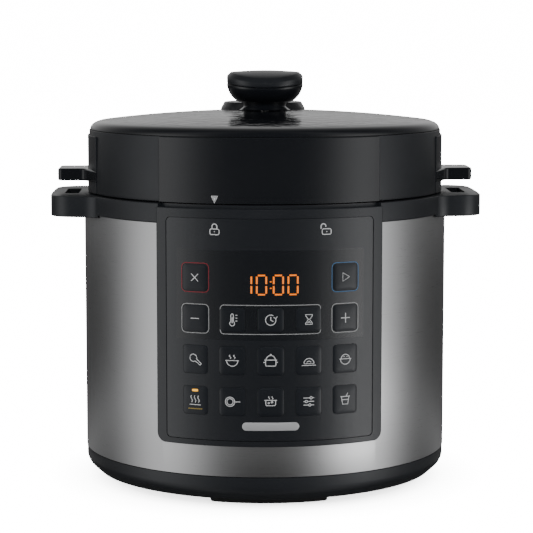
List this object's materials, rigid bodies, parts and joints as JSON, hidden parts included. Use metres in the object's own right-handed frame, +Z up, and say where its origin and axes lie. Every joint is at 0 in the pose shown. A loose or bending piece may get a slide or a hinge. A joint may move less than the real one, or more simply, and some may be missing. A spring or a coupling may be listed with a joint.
{
  "type": "electric pressure cooker",
  "caption": "Round brushed-steel electric pressure cooker with a locking domed lid, a top knob, side handles and a curved black control panel.",
  "frame": {"origin": "on the table, under the centre of the round body", "axes": "+Z up; the control panel faces -Y; +X runs to the right-hand handle as seen from the front"},
  "size_m": [0.3176, 0.2784, 0.3043],
  "materials": {
    "satin_black": "satin, lightly grained",
    "foot_rubber": "matt",
    "pressed_steel": "satin",
    "brushed_shell": "brushed round the body",
    "film_black": "fine matt texture",
    "badge_silver": "satin silver",
    "display_black": "smoked",
    "board_green": "solder mask",
    "well_aluminium": "spun",
    "cast_aluminium": "cast",
    "fuse_sleeve": "glass-fibre sleeve",
    "clear_cup": "clear, slightly smoky",
    "pot_coating": "non-stick coating",
    "seal_silicone": "matt",
    "lid_gloss": "glossy, finely rippled",
    "polished_steel": "polished",
    "gloss_black": "glossy"
  },
  "bodies": {
    "housing": {"base": "satin_black", "foot_front": "foot_rubber", "foot_right": "foot_rubber", "foot_back": "foot_rubber", "foot_left": "foot_rubber", "base_screw_1": "pressed_steel", "base_screw_2": "pressed_steel", "base_screw_3": "pressed_steel", "steel_shell": "brushed_shell", "collar": "satin_black", "panel_bezel": "satin_black", "control_film": "film_black", "badge_strip": "badge_silver", "display_module": "display_black", "control_board": "board_green", "power_board": "board_green", "power_inlet": "satin_black", "outer_pot": "well_aluminium", "heating_plate": "cast_aluminium", "sensor_bracket": "pressed_steel", "sensor_spring": "pressed_steel", "pressure_switch": "satin_black", "thermal_fuse": "fuse_sleeve", "cup_pocket": "satin_black"},
    "cooking_pot": {"inner_pot": "pot_coating"},
    "lid_seal": {"sealing_ring": "seal_silicone"},
    "lid": {"lid_cover": "lid_gloss", "lid_skirt": "satin_black", "lid_plate": "pressed_steel", "seal_rack": "polished_steel", "vent_pipe": "polished_steel", "anti_block_shield": "pressed_steel", "lid_screw": "pressed_steel", "knob_stem": "gloss_black", "knob_body": "gloss_black", "knob_cap": "satin_black"},
    "steam_valve": {"steam_valve_knob": "satin_black", "valve_weight": "polished_steel"},
    "float_valve": {"float_valve": "pressed_steel"},
    "temperature_sensor": {"temperature_sensor": "cast_aluminium"},
    "condensate_cup": {"condensate_cup": "clear_cup"},
    "button_cancel": {"button_cancel": "film_black"},
    "button_start": {"button_start": "film_black"},
    "button_minus": {"button_minus": "film_black"},
    "button_temperature": {"button_temperature": "film_black"},
    "button_delay": {"button_delay": "film_black"},
    "button_time": {"button_time": "film_black"},
    "button_plus": {"button_plus": "film_black"},
    "button_poultry": {"button_poultry": "film_black"},
    "button_soup": {"button_soup": "film_black"},
    "button_stew": {"button_stew": "film_black"},
    "button_aspic": {"button_aspic": "film_black"},
    "button_rice": {"button_rice": "film_black"},
    "button_keep_warm": {"button_keep_warm": "film_black"},
    "button_fry": {"button_fry": "film_black"},
    "button_simmer": {"button_simmer": "film_black"},
    "button_manual": {"button_manual": "film_black"},
    "button_yoghurt": {"button_yoghurt": "film_black"}
  },
  "joints": [
    {"name": "pot_lift", "type": "slide", "parent": "housing", "child": "cooking_pot", "axis": [0, 0, 1], "range_m": [0, 0.17]},
    {"name": "lid_lift", "type": "slide", "parent": "cooking_pot", "child": "lid_seal", "axis": [0, 0, 1], "range_m": [0, 0.2]},
    {"name": "lid_turn", "type": "hinge", "parent": "lid_seal", "child": "lid", "pos_m": [0, 0, 0.25], "axis": [0, 0, 1], "range_deg": [0, 32.8]},
    {"name": "steam_valve_turn", "type": "hinge", "parent": "lid", "child": "steam_valve", "pos_m": [0, 0.056, 0.279], "axis": [0, 0, 1], "range_deg": [0, 45]},
    {"name": "float_rise", "type": "slide", "parent": "lid", "child": "float_valve", "axis": [0, 0, 1], "range_m": [0, 0.0035]},
    {"name": "sensor_press", "type": "slide", "parent": "housing", "child": "temperature_sensor", "axis": [0, 0, 1], "range_m": [-0.003, 0], "stiffness_N_per_m": 350, "springref_m": 0.003, "deforming": ["sensor_spring"]},
    {"name": "cup_pull", "type": "slide", "parent": "housing", "child": "condensate_cup", "axis": [0, 1, 0], "range_m": [0, 0.035]},
    {"name": "press_cancel", "type": "slide", "parent": "housing", "child": "button_cancel", "axis": [0.3795, 0.9252, 0], "range_m": [0, 0.0006], "stiffness_N_per_m": 400, "springref_m": -0.0004},
    {"name": "press_start", "type": "slide", "parent": "housing", "child": "button_start", "axis": [-0.3795, 0.9252, 0], "range_m": [0, 0.0006], "stiffness_N_per_m": 400, "springref_m": -0.0004},
    {"name": "press_minus", "type": "slide", "parent": "housing", "child": "button_minus", "axis": [0.3795, 0.9252, 0], "range_m": [0, 0.0006], "stiffness_N_per_m": 400, "springref_m": -0.0004},
    {"name": "press_temperature", "type": "slide", "parent": "housing", "child": "button_temperature", "axis": [0.1925, 0.9813, 0], "range_m": [0, 0.0006], "stiffness_N_per_m": 400, "springref_m": -0.0004},
    {"name": "press_delay", "type": "slide", "parent": "housing", "child": "button_delay", "axis": [0, 1, 0], "range_m": [0, 0.0006], "stiffness_N_per_m": 400, "springref_m": -0.0004},
    {"name": "press_time", "type": "slide", "parent": "housing", "child": "button_time", "axis": [-0.1925, 0.9813, 0], "range_m": [0, 0.0006], "stiffness_N_per_m": 400, "springref_m": -0.0004},
    {"name": "press_plus", "type": "slide", "parent": "housing", "child": "button_plus", "axis": [-0.3795, 0.9252, 0], "range_m": [0, 0.0006], "stiffness_N_per_m": 400, "springref_m": -0.0004},
    {"name": "press_poultry", "type": "slide", "parent": "housing", "child": "button_poultry", "axis": [0.3795, 0.9252, 0], "range_m": [0, 0.0006], "stiffness_N_per_m": 400, "springref_m": -0.0004},
    {"name": "press_soup", "type": "slide", "parent": "housing", "child": "button_soup", "axis": [0.1925, 0.9813, 0], "range_m": [0, 0.0006], "stiffness_N_per_m": 400, "springref_m": -0.0004},
    {"name": "press_stew", "type": "slide", "parent": "housing", "child": "button_stew", "axis": [0, 1, 0], "range_m": [0, 0.0006], "stiffness_N_per_m": 400, "springref_m": -0.0004},
    {"name": "press_aspic", "type": "slide", "parent": "housing", "child": "button_aspic", "axis": [-0.1925, 0.9813, 0], "range_m": [0, 0.0006], "stiffness_N_per_m": 400, "springref_m": -0.0004},
    {"name": "press_rice", "type": "slide", "parent": "housing", "child": "button_rice", "axis": [-0.3795, 0.9252, 0], "range_m": [0, 0.0006], "stiffness_N_per_m": 400, "springref_m": -0.0004},
    {"name": "press_keep_warm", "type": "slide", "parent": "housing", "child": "button_keep_warm", "axis": [0.3795, 0.9252, 0], "range_m": [0, 0.0006], "stiffness_N_per_m": 400, "springref_m": -0.0004},
    {"name": "press_fry", "type": "slide", "parent": "housing", "child": "button_fry", "axis": [0.1925, 0.9813, 0], "range_m": [0, 0.0006], "stiffness_N_per_m": 400, "springref_m": -0.0004},
    {"name": "press_simmer", "type": "slide", "parent": "housing", "child": "button_simmer", "axis": [0, 1, 0], "range_m": [0, 0.0006], "stiffness_N_per_m": 400, "springref_m": -0.0004},
    {"name": "press_manual", "type": "slide", "parent": "housing", "child": "button_manual", "axis": [-0.1925, 0.9813, 0], "range_m": [0, 0.0006], "stiffness_N_per_m": 400, "springref_m": -0.0004},
    {"name": "press_yoghurt", "type": "slide", "parent": "housing", "child": "button_yoghurt", "axis": [-0.3795, 0.9252, 0], "range_m": [0, 0.0006], "stiffness_N_per_m": 400, "springref_m": -0.0004}
  ]
}
